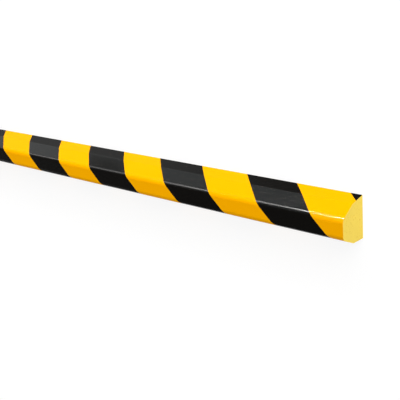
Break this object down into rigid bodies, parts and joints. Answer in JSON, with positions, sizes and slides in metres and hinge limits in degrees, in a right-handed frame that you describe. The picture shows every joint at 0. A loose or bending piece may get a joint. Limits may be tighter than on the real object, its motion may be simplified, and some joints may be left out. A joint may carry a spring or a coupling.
{
  "type": "surface protection profile",
  "caption": "Soft foam guard bar with a flat back, sloping sides, a flat crown and slanting hazard stripes, fixed along a wall, post or machine edge to soften knocks.",
  "frame": {"origin": "centre of the flat back, on the surface the bar lies on or is fixed to", "axes": "+X along the bar, +Y across it, +Z out of the crown, away from the back"},
  "size_m": [1, 0.04, 0.033],
  "materials": {
    "skin": "smooth moulded foam skin in yellow and black slanting stripes, with a satin gloss; cut ends are matt pale yellow foam"
  },
  "bodies": {
    "root": {"profile": "skin"}
  },
  "joints": []
}
